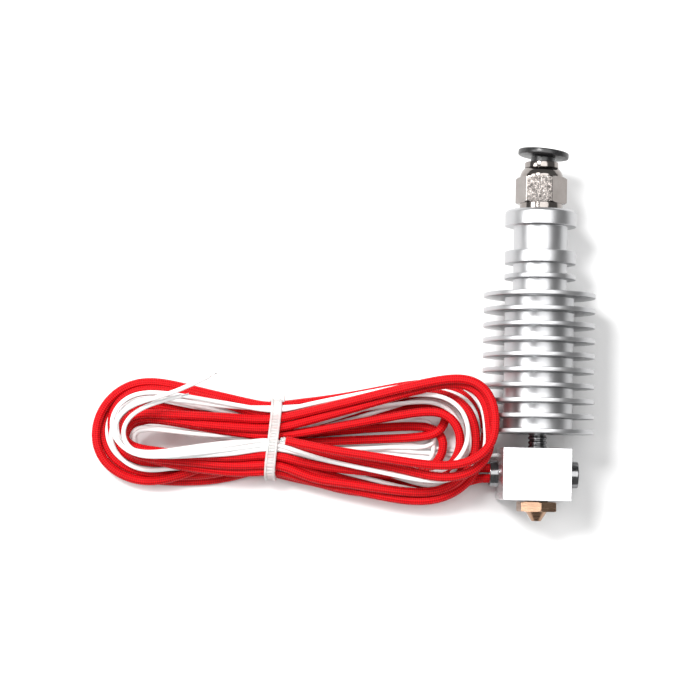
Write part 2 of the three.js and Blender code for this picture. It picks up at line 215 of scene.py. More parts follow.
def bead_glass():
    s = Shader("bead_glass", roughness=0.08)
    fine = s.noise(900.0, 3.0)
    s.color(fine, rgb(0.45, 0.17, 0.03), rgb(0.62, 0.30, 0.07))
    return s.material


# A braided sleeve: two families of threads cross each other round the lead. Its colour is darker where the
# weave dips, which is painted shade between the threads, mixed with a random tone in patches.
def braided_red(diameter):
    s = Shader("braided_red", roughness=0.5, specular_ior_level=0.14)
    sleeve = s.node("ShaderNodeUVMap", uv_map=SLEEVE_UV).outputs["UV"]
    uv = s.node("ShaderNodeSeparateXYZ", {"Vector": sleeve})
    carriers, pitch = 10, 2.4 * diameter
    along = s.math("MULTIPLY", uv.outputs["X"], 2 * math.pi * carriers / pitch / 2)
    around = s.math("MULTIPLY", uv.outputs["Y"], 2 * math.pi * carriers / 2)
    left = s.math("SINE", s.math("ADD", along, around))
    right = s.math("SINE", s.math("SUBTRACT", along, around))
    weave = s.span(s.math("MULTIPLY", left, right), 0.0, 1.0, -1.0, 1.0)
    fibres = s.noise(6000.0, 2.0, 0.7)
    height = s.math("ADD", weave, s.math("MULTIPLY", fibres, 0.5))
    patches = s.noise(240.0, 3.0)
    # painted shade in the weave's hollows, plus random patches of tone
    hollow_shade_and_patches = s.math("ADD", s.math("MULTIPLY", weave, 0.8), s.math("MULTIPLY", patches, 0.2))
    s.color(hollow_shade_and_patches, rgb(0.26, 0.0, 0.001), rgb(0.88, 0.008, 0.014))
    s.roughness(s.span(weave, 0.62, 0.44))
    s.bump(height, 0.8, 0.00016)
    return s.material


def white_insulation():
    s = Shader("white_insulation", roughness=0.42)
    fine = s.noise(2400.0, 3.0, 0.6)
    broad = s.noise(140.0, 4.0)
    s.color(broad, rgb(0.80, 0.80, 0.79), rgb(0.92, 0.92, 0.915))
    s.bump(fine, 0.2, 0.00003)
    return s.material


def tinned_strand():
    s = Shader("tinned_strand", metallic=1.0)
    fine = s.noise(2400.0, 4.0, 0.6)
    s.color(fine, rgb(0.55, 0.55, 0.54), rgb(0.75, 0.75, 0.74))
    s.roughness(s.span(fine, 0.25, 0.45, 0.3, 0.7))
    s.bump(fine, 0.3, 0.00004)
    return s.material


def natural_nylon():
    s = Shader("natural_nylon", roughness=0.32, transmission_weight=0.45, ior=1.35)
    fine = s.noise(1600.0, 3.0, 0.6)
    broad = s.noise(300.0, 4.0)
    s.color(broad, rgb(0.86, 0.85, 0.83), rgb(0.95, 0.95, 0.94))
    s.roughness(s.span(fine, 0.26, 0.42, 0.3, 0.7))
    s.bump(fine, 0.15, 0.00004)
    return s.material


RED_D = 2.0 * MM
WHITE_D = 1.0 * MM
ALUMINIUM = blasted_aluminium()
MILLED = milled_aluminium()
NICKEL = nickel_plate()
STEEL = polished_steel()
BRASS = turned_brass()
BLACK = moulded_black()
RUBBER = black_rubber()
CERAMIC = fired_ceramic()
BEAD = bead_glass()
RED = braided_red(RED_D)
WHITE = white_insulation()
TIN = tinned_strand()
NYLON = natural_nylon()

# ---------------------------------------------------------------- mesh helpers, in millimetres


def new_object(name, vertices, faces, material, smooth_angle=32.0):
    mesh = bpy.data.meshes.new(name)
    mesh.from_pydata([tuple(float(c) * MM for c in v) for v in vertices], [], faces)
    mesh.validate()
    made = bpy.data.objects.new(name, mesh)
    bpy.context.scene.collection.objects.link(made)
    mesh.materials.append(material)
    tidy(made, smooth_angle)
    return made


def tidy(made, smooth_angle=32.0):
    """Merges doubles, faces every normal outwards and smooths all but the real edges."""
    form = bmesh.new()
    form.from_mesh(made.data)
    bmesh.ops.remove_doubles(form, verts=form.verts, dist=1e-7)
    bmesh.ops.recalc_face_normals(form, faces=form.faces)
    form.to_mesh(made.data)
    form.free()
    made.data.shade_smooth()
    made.data.set_sharp_from_angle(angle=math.radians(smooth_angle))


def filleted(profile, radius, closed=True, steps=3):
    """The profile with its corners rounded by the radius, or by less where an edge is short."""
    points = [Vector(p) for p in profile]
    out = []
    for i, corner in enumerate(points):
        if not closed and i in (0, len(points) - 1):
            out.append(corner)
            continue
        before, after = points[i - 1], points[(i + 1) % len(points)]
        a, b = before - corner, after - corner
        reach = min(radius, a.length * 0.4, b.length * 0.4)
        if a.length < 1e-6 or b.length < 1e-6 or abs(a.normalized().dot(b.normalized())) > 0.999:
            out.append(corner)
            continue
        start, end = corner + a.normalized() * reach, corner + b.normalized() * reach
        for k in range(steps + 1):
            t = k / steps
            out.append(start * (1 - t) ** 2 + corner * 2 * t * (1 - t) + end * t**2)
    return [tuple(p) for p in out]


def revolved(profile, sides=144, shape=None, closed=True):
    """Vertices and faces of a profile of (radius, y) turned about Y. shape(angle, r, y) may change r."""
    vertices, faces = [], []
    count = len(profile)
    for i in range(sides):
        angle = 2 * math.pi * i / sides
        for r, y in profile:
            if shape is not None:
                r = shape(angle, r, y)
            vertices.append((r * math.sin(angle), y, r * math.cos(angle)))
    last = count if closed else count - 1
    for i in range(sides):
        j = (i + 1) % sides
        for k in range(last):
            m = (k + 1) % count
            faces.append((i * count + k, i * count + m, j * count + m, j * count + k))
    return vertices, faces


def shifted(vertices, y=0.0, z=0.0):
    return [(a, b + y, c + z) for a, b, c in vertices]


def along_x(vertices):
    """Turns a shape made about Y so that it is about X."""
    return [(y, -x, z) for x, y, z in vertices]


def cut(made, tool):
    """Cuts the tool out of the object and removes the tool."""
    modifier = made.modifiers.new("cut", "BOOLEAN")
    modifier.operation = "DIFFERENCE"
    modifier.solver = "EXACT"
    modifier.object = tool
    depsgraph = bpy.context.evaluated_depsgraph_get()
    result = bpy.data.meshes.new_from_object(made.evaluated_get(depsgraph))
    made.modifiers.clear()
    made.data = result
    bpy.data.objects.remove(tool)


def cylinder(radius, y0, y1, sides=64):
    return revolved([(0, y0), (radius, y0), (radius, y1), (0, y1)], sides, closed=False)


def box_object(name, low, high, material, bevel, segments=3):
    """A box with rounded edges."""
    form = bmesh.new()
    bmesh.ops.create_cube(form, size=1.0)
    for v in form.verts:
        for k in range(3):
            v.co[k] = low[k] + (v.co[k] + 0.5) * (high[k] - low[k])
    bmesh.ops.bevel(form, geom=list(form.edges), offset=bevel, segments=segments, profile=0.6, affect="EDGES")
    vertices = [tuple(v.co) for v in form.verts]
    form.verts.index_update()
    faces = [tuple(v.index for v in f.verts) for f in form.faces]
    form.free()
    return new_object(name, vertices, faces, material)


def finish_piece(made, body, nodes):
    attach(made, body)
    if nodes:
        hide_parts(*nodes)


def node_box(name):
    low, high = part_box(name)
    return [c / MM for c in low], [c / MM for c in high]


# ---------------------------------------------------------------- stations from the frame, in millimetres

SINK_LOW, SINK_HIGH = node_box("heat_sink")
AXIS_Z = (SINK_LOW[2] + SINK_HIGH[2]) / 2
FIN_R = (SINK_HIGH[0] - SINK_LOW[0]) / 2
SINK_BOTTOM, SINK_TOP = SINK_LOW[1], SINK_HIGH[1]
BLOCK_LOW, BLOCK_HIGH = node_box("heater_block")
CARTRIDGE_LOW, CARTRIDGE_HIGH = node_box("cartridge_sheath")
CARTRIDGE_Y = (CARTRIDGE_LOW[1] + CARTRIDGE_HIGH[1]) / 2
CARTRIDGE_Z = (CARTRIDGE_LOW[2] + CARTRIDGE_HIGH[2]) / 2
NOZZLE_LOW, NOZZLE_HIGH = node_box("nozzle")
TIE_LOW, TIE_HIGH = node_box("cable_tie")
TIE_X = (TIE_LOW[0] + TIE_HIGH[0]) / 2

# ---------------------------------------------------------------- lead hank

LEAD_STEP = 2.6  # between the points that the hank is settled with
SETTLE_ROUNDS = 450
TIE_CORE_Y = (-32.8, -16.4)
TIE_CORE_Z = (1.65, 9.2)
TIE_ROUND = 3.2
HANK_TURN = math.radians(1.2)  # the hank lies a little out of square
HANK_CENTRE = (-47.5, -31.2)
HANK_SHIFT = (0.0, -1.35)
TABLE_GAP = 0.05

HEATER_EXITS = [
    [(-9.5, -30.1, 4.9), (-13, -30.2, 4.6), (-20, -31.6, 3.2), (-32, -32.4, 2.6), (-46, -30.2, 2.6)],
    [(-9.5, -32.4, 4.9), (-13, -32.6, 4.6), (-20, -34.2, 3.2), (-32, -34.6, 2.6), (-46, -31.6, 2.6)],
]
THERMISTOR_EXITS = [
    [(-5.6, -27.1, 3.25), (-9, -27.1, 3.25), (-14, -27.0, 3.0), (-24, -24.6, 3.2), (-38, -23.2, 3.0),
     (-48, -24.5, 2.4)],
    [(-5.6, -27.1, 1.95), (-9, -27.1, 1.95), (-14, -27.4, 1.6), (-24, -25.6, 1.6), (-38, -24.4, 1.6),
     (-48, -25.5, 1.8)],
]

# Each turn of a lead: its left loop's tip, top and bottom, where it passes the tie on the way back, its
# right loop's tip, top and bottom, where it passes the tie next, and how high it is wound on the left,
# on the right, and how high the right loop stays because of what lies under it.
HEATER_TURNS = [
    [((-98.0, -10.5, -32.0), -17.0, (-12.0, -13.0, -36.6), -30.0, 5, 6, 0),
     ((-94.5, -15.0, -28.0), -20.0, (-18.5, -13.0, -22.6), -24.6, 10, 11, 2),
     ((-99.4, -9.6, -33.4), -15.7, (-11.4, -10.2, -37.4), -31.2, 14, 16, 6),
     ((-92.4, -18.0, -27.8), -22.0, (-16.2, -16.5, -31.4), -28.2, 18, 21, 8),
     ((-93.6, -17.0, -25.4), -18.2, (-8.8, -9.4, -30.0), -26.0, 22, 31, 20.6)],
    [((-96.5, -12.5, -30.5), -18.5, (-12.0, -14.5, -36.8), -29.0, 3.5, 4.5, 0),
     ((-95.5, -14.0, -29.0), -21.5, (-19.5, -18.8, -32.0), -29.6, 8, 9, 2),
     ((-98.0, -10.0, -31.3), -16.4, (-12.2, -11.4, -36.8), -28.4, 12, 14, 5),
     ((-96.3, -10.8, -28.4), -16.2, (-12.4, -12.0, -35.6), -30.4, 16, 18.5, 11),
     ((-93.4, -17.6, -27.0), -20.3, (-9.2, -10.6, -33.0), -25.5, 20, 28, 18.6)],
]
THERMISTOR_TURNS = [
    [((-97.0, -13.0, -30.0), -18.0, (-21.0, -18.0, -29.5), -28.5, 5.6, 6.6, 1),
     ((-97.3, -12.0, -30.2), -17.5, (-11.6, -11.5, -35.2), -27.0, 15, 17.2, 8),
     ((-91.4, -20.0, -25.6), -22.6, (-15.4, -13.4, -32.0), -24.4, 19.4, 12.4, 5),
     ((-95.4, -11.9, -27.4), -15.6, (-10.2, -10.0, -33.4), -25.4, 26, 27, 17)],
    [((-95.0, -14.0, -29.0), -19.0, (-21.0, -18.6, -24.8), -26.0, 6.9, 7.6, 1),
     ((-96.0, -13.0, -30.6), -18.5, (-16.0, -14.2, -31.5), -26.2, 17.0, 19.6, 8),
     ((-91.0, -20.6, -26.4), -22.0, (-12.8, -11.4, -33.6), -23.6, 20.7, 13.8, 6),
     ((-94.5, -13.4, -26.6), -16.5, (-14.6, -12.6, -31.4), -24.8, 24.4, 25.4, 13)],
]
FIRST_PASS = [-30.0, -31.0, -25.0, -26.0]  # where each lead first passes the tie


def left_loop(tip, top, bottom):
    high = (top - bottom) / 2
    wide = min(1.05 * high, 15.0)
    angles = np.linspace(-math.pi / 2, -1.5 * math.pi, 7)
    return [(tip + wide + wide * math.cos(a), (top + bottom) / 2 + high * math.sin(a)) for a in angles]


def right_loop(tip, top, bottom):
    """Squarer than a circle, because these loops are pressed against the block."""
    high = (top - bottom) / 2
    wide = min(high, 15.0)
    out = []
    for a in np.linspace(math.pi / 2, -math.pi / 2, 7):
        across, up = math.cos(a) ** 0.86, math.copysign(abs(math.sin(a)) ** 0.86, a)
        out.append((tip - wide + wide * across, (top + bottom) / 2 + high * up))
    return out


# The far ends, as (x, y, z, held up). The first two stop just right of the tie, and the others past the
# left loop.
TAILS = [
    [(-36, -26.9, 31, 3), (-46.5, -26.0, 30, 0), (-50.5, -24.6, 29.5, 0), (-54.7, -23.7, 29, 0)],
    [(-30, -29.6, 27, 4), (-42.0, -28.6, 25.5, 0), (-49.5, -26.4, 25, 0), (-55.4, -24.8, 24.5, 0)],
    [(TIE_X, -25.2, 28.0, 0), *[(x, y, 29, 0) for x, y in left_loop(-95.0, -14.2, -28.0)],
     (-84.5, -15.8, 29.5, 0), (-79.5, -13.1, 30, 0), (-74.4, -10.4, 30.5, 0)],
    [(TIE_X, -25.9, 26.8, 0), *[(x, y, 27.5, 0) for x, y in left_loop(-94.0, -15.0, -27.4)],
     (-84.5, -14.6, 27.6, 0), (-81.5, -14.2, 27.8, 0)],
]


def resampled(points, step):
    gone = np.concatenate([[0], np.cumsum(np.linalg.norm(np.diff(points[:, :3], axis=0), axis=1))])
    marks = np.linspace(0, gone[-1], max(2, round(gone[-1] / step)) + 1)
    return np.stack([np.interp(marks, gone, points[:, k]) for k in range(points.shape[1])], axis=1)


def smooth_through(points, step, fine=12):
    """Points a step apart on a smooth curve through the given ones."""
    p = np.array(points, float)
    q = np.vstack([2 * p[0] - p[1], p, 2 * p[-1] - p[-2]])
    a, b, c, d = q[:-3], q[1:-2], q[2:-1], q[3:]
    t = np.linspace(0, 1, fine, endpoint=False)[None, :, None]
    a, b, c, d = (v[:, None, :] for v in (a, b, c, d))
    cubic = -a + 3 * b - 3 * c + d
    curve = 0.5 * (2 * b + (c - a) * t + (2 * a - 5 * b + 4 * c - d) * t**2 + cubic * t**3)
    return resampled(np.vstack([curve.reshape(-1, p.shape[1]), p[-1:]]), step)


def wound(exit_points, turns, first_pass, tail):
    """A lead's route before it settles, as (x, y, z, held up)."""
    points = [(*p, 0.0) for p in exit_points]
    low = first_pass
    for left, high, right, next_low, z_left, z_right, held in turns:
        points.append((TIE_X, low, z_left, 0))
        points += [(x, y, z_left, 0) for x, y in left_loop(*left)]
        points.append((TIE_X, high, (z_left + z_right) / 2, 0))
        loop = right_loop(*right)
        for k, (x, y) in enumerate(loop):
            share = math.sin(math.pi * (k + 0.8) / (len(loop) + 0.6)) ** 0.7
            points.append((x, y, z_right, held * share))
        low = next_low
    return smooth_through(points + tail, LEAD_STEP)


class Hank:
    """Leads that settle on the table, on each other, on the fins and in the tie, at a fixed length."""

    HELD = 3  # points at each exit that don't move
    PAIR_REACH = 2.7  # two thick leads, and how far they may move before the pairs are found again
    PAIRS_EVERY = 6
    LEAD_GAP = 0.03
    FIN_GAP = 0.12
    WALL_GAP = 0.2
    PUSH = 1.6  # more than 1, because every push is shared with the other points that touch
    TIE_HOLDS = 2.4  # how far to either side of its middle the tie holds the leads
    PRESSED_BY = 0.45  # the shares of the rounds after which the tie is closed and all is nearly still
    STILL_FROM = 0.7

    def __init__(self, leads, radii):
        self.starts = np.cumsum([0] + [len(lead) for lead in leads])
        whole = np.vstack(leads)
        self.at, self.lift = whole[:, :3].copy(), whole[:, 3].copy()
        self.count = len(self.at)
        self.radius = np.concatenate([np.full(len(lead), r) for lead, r in zip(leads, radii)])
        owner = np.concatenate([np.full(len(lead), i) for i, lead in enumerate(leads)])
        self.home = self.at.copy()
        self.free = np.ones(self.count)
        for start in self.starts[:-1]:
            self.free[start:start + self.HELD] = 0
        spans = list(zip(self.starts[:-1], self.starts[1:]))
        self.link = np.concatenate([np.arange(a, b - 1) for a, b in spans])
        self.middle = np.concatenate([np.arange(a + 1, b - 1) for a, b in spans])
        self.rest = np.linalg.norm(self.at[self.link + 1] - self.at[self.link], axis=1)
        self.link_owner = owner[self.link]
        self.top = self.at[:, 2].max() + 2

    def find_pairs(self):
        middles = (self.at[self.link] + self.at[self.link + 1]) / 2
        square = (middles**2).sum(1)
        apart = square[:, None] + square[None, :] - 2 * middles @ middles.T
        first, second = np.nonzero(np.triu(apart < (LEAD_STEP + self.PAIR_REACH) ** 2, 1))
        near = (self.link_owner[first] == self.link_owner[second]) & (np.abs(first - second) <= 3)
        self.pairs = self.link[first[~near]], self.link[second[~near]]

    def push_apart(self):
        a, b = self.pairs
        start_a, start_b = self.at[a], self.at[b]
        along_a, along_b = self.at[a + 1] - start_a, self.at[b + 1] - start_b
        between = start_a - start_b
        aa, bb, ab = (along_a**2).sum(1), (along_b**2).sum(1), (along_a * along_b).sum(1)
        ca, cb = (along_a * between).sum(1), (along_b * between).sum(1)
        spread = aa * bb - ab * ab
        crossing = spread > 1e-9
        s = np.where(crossing, np.clip((ab * cb - ca * bb) / np.where(crossing, spread, 1), 0, 1), 0.5)
        t = np.clip((ab * s + cb) / bb, 0, 1)
        s = np.clip((ab * t - ca) / aa, 0, 1)
        away = start_a + along_a * s[:, None] - start_b - along_b * t[:, None]
        far = np.linalg.norm(away, axis=1) + 1e-9
        overlap = self.radius[a] + self.radius[b] + self.LEAD_GAP - far
        hit = overlap > 0
        a, b, s, t = a[hit], b[hit], s[hit], t[hit]
        push = away[hit] * (0.5 * overlap[hit] / far[hit])[:, None]
        total, weight = np.zeros((self.count, 3)), np.zeros(self.count)
        for index, share, side in ((a, 1 - s, 1), (a + 1, s, 1), (b, 1 - t, -1), (b + 1, t, -1)):
            for k in range(3):
                total[:, k] += np.bincount(index, side * push[:, k] * share, self.count)
            weight += np.bincount(index, share, self.count)
        self.at += self.PUSH * total / np.maximum(weight, 1)[:, None] * self.free[:, None]

    def keep_lengths(self):
        even = self.link % 2 == 0
        for chosen in (even, ~even):
            i = self.link[chosen]
            step = self.at[i + 1] - self.at[i]
            long = np.linalg.norm(step, axis=1) + 1e-9
            before, after = self.free[i], self.free[i + 1]
            both = np.maximum(before + after, 1e-9)
            fix = step * ((long - self.rest[chosen]) / long)[:, None]
            self.at[i] += fix * (before / both)[:, None]
            self.at[i + 1] -= fix * (after / both)[:, None]

    def stay_outside(self, rise, top):
        at, radius = self.at, self.radius
        at[:, 2] = np.maximum(at[:, 2], radius + TABLE_GAP + self.lift * rise)
        beside_fins = at[:, 1] > SINK_BOTTOM - 1.15
        across, up = at[:, 0], at[:, 2] - AXIS_Z
        far = np.hypot(across, up) + 1e-9
        need = FIN_R + self.FIN_GAP + radius
        grow = np.where(beside_fins & (far < need), need / far, 1.0)
        at[:, 0], at[:, 2] = across * grow, AXIS_Z + up * grow
        over_cartridge = at[:, 2] > CARTRIDGE_HIGH[2] + radius
        limit = np.where(over_cartridge, BLOCK_LOW[0], CARTRIDGE_LOW[0]) - self.WALL_GAP - radius
        at[:, 0] = np.where(beside_fins, at[:, 0], np.minimum(at[:, 0], limit))
        self.stay_in_tie(top)
        still = self.free == 0
        at[still] = self.home[still]

    def stay_in_tie(self, top):
        corner = TIE_ROUND - 0.6
        inside = np.abs(self.at[:, 0] - TIE_X) < self.TIE_HOLDS
        p, r = self.at[inside], self.radius[inside]
        low_z = TIE_CORE_Z[0] + r + corner
        y = np.clip(p[:, 1], TIE_CORE_Y[0] + r + corner, TIE_CORE_Y[1] - r - corner)
        z = np.clip(p[:, 2], low_z, np.maximum(top - r - corner, low_z))
        off = np.hypot(p[:, 1] - y, p[:, 2] - z) + 1e-9
        keep = np.minimum(1, corner / off)
        self.at[inside, 1] = y + (p[:, 1] - y) * keep
        self.at[inside, 2] = z + (p[:, 2] - z) * keep

    def settle(self, rounds):
        for k in range(rounds):
            u = k / rounds
            last = u > self.STILL_FROM
            pressed = min(1.0, u / self.PRESSED_BY)
            self.at[:, 2] -= (0.003 if last else 0.05 * (1 - u)) * self.free
            pull = 0.002 if last else 0.03 * (1 - u)
            self.at[:, :2] += (self.home[:, :2] - self.at[:, :2]) * pull * self.free[:, None]
            m = self.middle
            straight = (self.at[m - 1] + self.at[m + 1]) / 2 - self.at[m]
            self.at[m] += (0.07 if last else 0.12) * straight * self.free[m][:, None]
            if k % self.PAIRS_EVERY == 0:
                self.find_pairs()
            self.push_apart()
            self.keep_lengths()
            self.push_apart()
            self.keep_lengths()
            top = self.top * (1 - pressed) + TIE_CORE_Z[1] * pressed
            self.stay_outside(min(1.0, 1.5 * u + 0.2), top)
        return [self.at[a:b] for a, b in zip(self.starts[:-1], self.starts[1:])]


def settled_leads():
    exits = HEATER_EXITS + THERMISTOR_EXITS
    turns = HEATER_TURNS + THERMISTOR_TURNS
    leads = [wound(*facts) for facts in zip(exits, turns, FIRST_PASS, TAILS)]
    centre = np.array(HANK_CENTRE)
    cos, sin = math.cos(HANK_TURN), math.sin(HANK_TURN)
    turn = np.array(((cos, -sin), (sin, cos)))
    for lead in leads:
        share = np.clip((-12.0 - lead[:, 0]) / 10.0, 0, 1)[:, None]
        moved = (lead[:, :2] - centre) @ turn.T + centre + HANK_SHIFT
        lead[:, :2] += (moved - lead[:, :2]) * share
    hank = Hank(leads, [RED_D / MM / 2] * 2 + [WHITE_D / MM / 2] * 2)
    return hank.settle(SETTLE_ROUNDS)


def eased(line, radius, rounds=3):
    """The settled line with its small kinks taken out, held at both ends and above the table."""
    line = np.array(line)
    for _ in range(rounds):
        line[3:-1] += 0.4 * ((line[2:-2] + line[4:]) / 2 - line[3:-1])
        line[:, 2] = np.maximum(line[:, 2], radius + TABLE_GAP)
    return line


def tube_mesh(name, line, radius, sides, material):
    """A closed tube along a line in millimetres. Its UV holds metres along it and turns round it."""
    line = np.array(line)
    tangent = np.gradient(line, axis=0)
    tangent /= np.linalg.norm(tangent, axis=1)[:, None]
    side = np.zeros_like(line)
    guess = np.cross(tangent[0], (0.0, 0.0, 1.0))
    for i, t in enumerate(tangent):
        guess = guess - t * guess.dot(t)
        guess /= np.linalg.norm(guess)
        side[i] = guess
    over = np.cross(tangent, side)
    angles = np.linspace(0, 2 * math.pi, sides, endpoint=False)
    rings = (line[:, None, :] + radius * (np.cos(angles)[None, :, None] * side[:, None, :]
             + np.sin(angles)[None, :, None] * over[:, None, :]))
    vertices = rings.reshape(-1, 3)
    count = len(line)
    faces = []
    for i in range(count - 1):
        for j in range(sides):
            k = (j + 1) % sides
            faces.append((i * sides + j, i * sides + k, (i + 1) * sides + k, (i + 1) * sides + j))
    faces.append(tuple(range(sides))[::-1])
    faces.append(tuple((count - 1) * sides + j for j in range(sides)))
    mesh = bpy.data.meshes.new(name)
    mesh.from_pydata([tuple(v * MM) for v in vertices], [], faces)
    made = bpy.data.objects.new(name, mesh)
    bpy.context.scene.collection.objects.link(made)
    mesh.materials.append(material)
    gone = np.concatenate([[0], np.cumsum(np.linalg.norm(np.diff(line, axis=0), axis=1))]) * MM
    layer = mesh.uv_layers.new(name=SLEEVE_UV)
    uv = np.zeros((len(mesh.loops), 2))
    loop = 0
    for i in range(count - 1):
        for j in range(sides):
            for ring, turn in ((i, j), (i, j + 1), (i + 1, j + 1), (i + 1, j)):
                uv[loop] = gone[ring], turn / sides
                loop += 1
    layer.data.foreach_set("uv", uv.astype(np.float32).ravel())
    mesh.shade_smooth()
    mesh.set_sharp_from_angle(angle=math.radians(50))
    return made


def wire_end(name, line, wire_radius, length):
    """The bare tinned strands past a lead's cut end: a bundle of thin wires with a slight twist."""
    tip, before = np.array(line[-1]), np.array(line[-3])
    away = (tip - before) / np.linalg.norm(tip - before)
    across = np.cross(away, (0, 0, 1))
    across /= np.linalg.norm(across)
    up = np.cross(across, away)
    strands, strand_r = 7, wire_radius / 3
    vertices, faces = [], []
    for k in range(strands):
        offset = 0 if k == 0 else wire_radius - strand_r
        points = []
        for s in np.linspace(-0.4, length, 9):
            angle = 2 * math.pi * k / (strands - 1) + 1.4 * s / length
            points.append(tip + away * s + offset * (across * math.cos(angle) + up * math.sin(angle)))
        part = tube_mesh("strand", points, strand_r, 8, TIN)
        first = len(vertices)
        vertices += [tuple(v.co / MM) for v in part.data.vertices]
        faces += [tuple(first + i for i in f.vertices) for f in part.data.polygons]
        bpy.data.objects.remove(part)
    return new_object(name, vertices, faces, TIN, 50)


# Each kind of lead: its diameter, material, slot, sides round it and the radius of its bare wire.
LEAD_KINDS = {
    "heater": (RED_D, RED, "red_sleeve", 16, 0.5),
    "thermistor": (WHITE_D, WHITE, "white_sleeve", 12, 0.22),
}
LEADS = [("heater", 1.2), ("heater", 1.2), ("thermistor", 1.8), ("thermistor", 1.6)]  # with the bare length


def make_leads():
    for number, (line, (family, bare)) in enumerate(zip(settled_leads(), LEADS)):
        diameter, material, slot, sides, wire_r = LEAD_KINDS[family]
        which = number % 2 + 1
        radius = diameter / MM / 2
        step = 0.35 * diameter / MM + 0.25
        smooth = smooth_through(eased(line, radius), step, fine=8)
        smooth[:, 2] = np.maximum(smooth[:, 2], radius + 0.02)
        lead = tube_mesh(f"{family}_lead_line_{which}", smooth, radius, sides, material)
        end = wire_end(f"{family}_bare_end_{which}", smooth, wire_r, bare)
        stands_for = [f"{family}_lead_{which}"]
        if which == 1:
            stands_for.append(f"{family}_lead_tail")
            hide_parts(f"{family}_wire_end")
        if number == 0:
            stands_for.append("lead_hank")
        finish_piece(lead, HOTEND, stands_for)
        finish_piece(end, HOTEND, [])


make_leads()

# ---------------------------------------------------------------- heat sink

FIN_THICK, FIN_PITCH, FIN_COUNT, CORE_R = 1.0, 3.36, 10, 7.7
NECK_R, COLLAR_R = 6.0, 8.0
SMALL_FIN, COLLAR = (12.1, 13.2), (15.6, 18.35)
FLANGE_LOW = SINK_TOP - 3.6
THREAD_HOLE_R, THREAD_HOLE_END = 4.9, 19.4
TUBE_BORE_R, COLD_SOCKET_R, COLD_SOCKET_END = 2.15, 3.65, -12.0


def make_heat_sink():
    outside = []
    for fin in range(FIN_COUNT):
        low = SINK_BOTTOM + fin * FIN_PITCH
        if fin > 0:
            outside.append((CORE_R, low))
        outside += [(FIN_R, low), (FIN_R, low + FIN_THICK)]
        outside.append((CORE_R if fin < FIN_COUNT - 1 else NECK_R, low + FIN_THICK))
    for low, high in (SMALL_FIN, COLLAR):
        outside += [(NECK_R, low), (COLLAR_R, low), (COLLAR_R, high), (NECK_R, high)]
    outside += [(NECK_R, FLANGE_LOW), (COLLAR_R, FLANGE_LOW), (COLLAR_R, SINK_TOP - 0.5),
                (COLLAR_R - 0.5, SINK_TOP)]
    inside = [(THREAD_HOLE_R, SINK_TOP), (THREAD_HOLE_R, THREAD_HOLE_END), (TUBE_BORE_R, THREAD_HOLE_END),
              (TUBE_BORE_R, COLD_SOCKET_END), (COLD_SOCKET_R, COLD_SOCKET_END), (COLD_SOCKET_R, SINK_BOTTOM)]
    vertices, faces = revolved(filleted(outside + inside, 0.22), 192)
    sink = new_object("heat_sink_turned", shifted(vertices, z=AXIS_Z), faces, ALUMINIUM)
    finish_piece(sink, HOTEND, ["heat_sink"])


# ---------------------------------------------------------------- tube coupler

SPIGOT_R, COUPLER_R = 4.7, 4.8
SPIGOT_PITCH, SPIGOT_THREAD = 0.8, 0.45
HEX_FLATS, HEX_TURN, HEX_LOW, HEX_HIGH = 10.0, 11.0, 29.15, 35.05
SHOULDER_TOP, SHOULDER_R = 37.1, 3.95
SOCKET_R, SOCKET_END = 3.7, 28.9
SLEEVE_R, SLEEVE_BORE_R, SLEEVE_TOP, SLEEVE_END = 3.8, 3.1, 38.5, 33.4


def hex_radius(angle, flats, turn):
    """The radius of a hexagon of that size across its flats, one of whose flats faces turn degrees left."""
    sector = math.radians(60)
    off = (angle - math.radians(30 - turn)) % sector - sector / 2
    return flats / 2 / math.cos(off)


def hex_edge(flats, low, high, shares):
    """Profile points at those shares of a hexagon's height, closest where its chamfers curve."""
    return [(flats / 2, low + 0.001 + (high - low - 0.002) * t) for t in shares]


def hexed(profile, flats, turn, low, high, chamfer, sides=384):
    """A turned profile whose radius between low and high is a hexagon's, with conical end chamfers."""
    corner = flats / math.sqrt(3)

    def shape(angle, r, y):
        if r < flats / 2 - 0.45 or not low - 1e-6 <= y <= high + 1e-6:
            return r
        ends = min(y - low, high - y)
        return min(hex_radius(angle, flats, turn), corner - chamfer + 2 * ends)

    return revolved(profile, sides, shape)


def make_coupler_body():
    low = THREAD_HOLE_END + 0.3
    thread = []
    y = low
    while y < SINK_TOP - 1.2:
        thread += [(SPIGOT_R - SPIGOT_THREAD, y), (SPIGOT_R, y + SPIGOT_PITCH / 2)]
        y += SPIGOT_PITCH
    shares = (0, 0.02, 0.04, 0.06, 0.09, 0.5, 0.91, 0.94, 0.96, 0.98, 1)
    outside = [*thread, (SPIGOT_R, SINK_TOP + 0.3), (COUPLER_R, SINK_TOP + 0.3), (COUPLER_R, HEX_LOW - 0.02)]
    outside += hex_edge(HEX_FLATS, HEX_LOW, HEX_HIGH, shares)
    crown = [(COUPLER_R, HEX_HIGH + 0.02), (COUPLER_R, HEX_HIGH + 0.5), (COUPLER_R - 0.3, HEX_HIGH + 1.3),
             (SHOULDER_R, SHOULDER_TOP), (SOCKET_R, SHOULDER_TOP)]
    crown = filleted(crown, 0.5, closed=False, steps=5)
    inside = [(SOCKET_R, SOCKET_END), (TUBE_BORE_R, SOCKET_END), (TUBE_BORE_R, low)]
    vertices, faces = hexed([*outside, *crown, *inside], HEX_FLATS, HEX_TURN, HEX_LOW, HEX_HIGH, 0.5)
    body = new_object("coupler_hex_body", shifted(vertices, z=AXIS_Z), faces, NICKEL, 24)
    finish_piece(body, HOTEND, ["coupler_body"])


